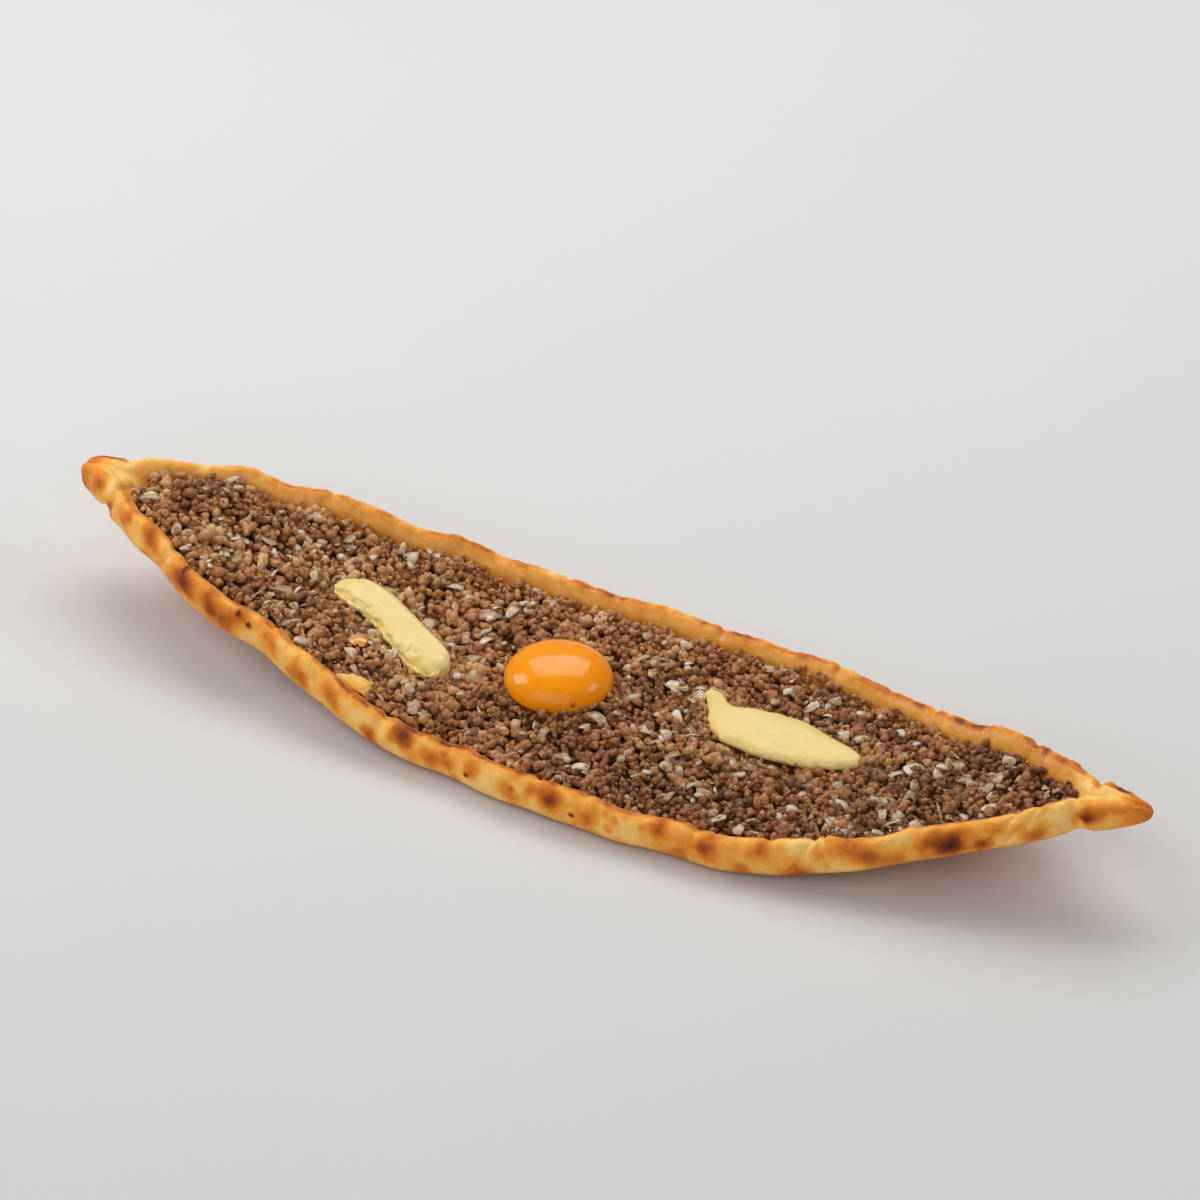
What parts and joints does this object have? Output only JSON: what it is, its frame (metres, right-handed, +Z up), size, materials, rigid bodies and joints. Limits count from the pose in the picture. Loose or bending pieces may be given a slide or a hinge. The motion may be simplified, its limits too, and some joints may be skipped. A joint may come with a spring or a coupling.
{
  "type": "turkish pide",
  "caption": "Long boat-shaped flatbread with a raised rim and pinched, lifted tips, filled with minced meat and onion under an egg yolk and smears of butter.",
  "frame": {"origin": "bottom centre of the bounding box, under the middle of the bread on the surface it lies on", "axes": "+X along the bread from the blunter tip to the slimmer one, +Y across it, +Z up"},
  "size_m": [0.4536, 0.1283, 0.045],
  "materials": {
    "baked_dough": "baked bread crust, cream to toasted brown, matt with an oily inner face",
    "minced_meat": "cooked minced meat in moist rounded crumbs",
    "cooked_onion": "translucent cooked onion dice and slivers, moist",
    "egg_yolk": "raw egg yolk, wet and glossy",
    "butter": "soft pale butter, satin"
  },
  "bodies": {
    "root": {"crust": "baked_dough", "mince_filling": "minced_meat", "egg_yolk": "egg_yolk", "butter_left": "butter", "butter_right": "butter"}
  },
  "joints": []
}
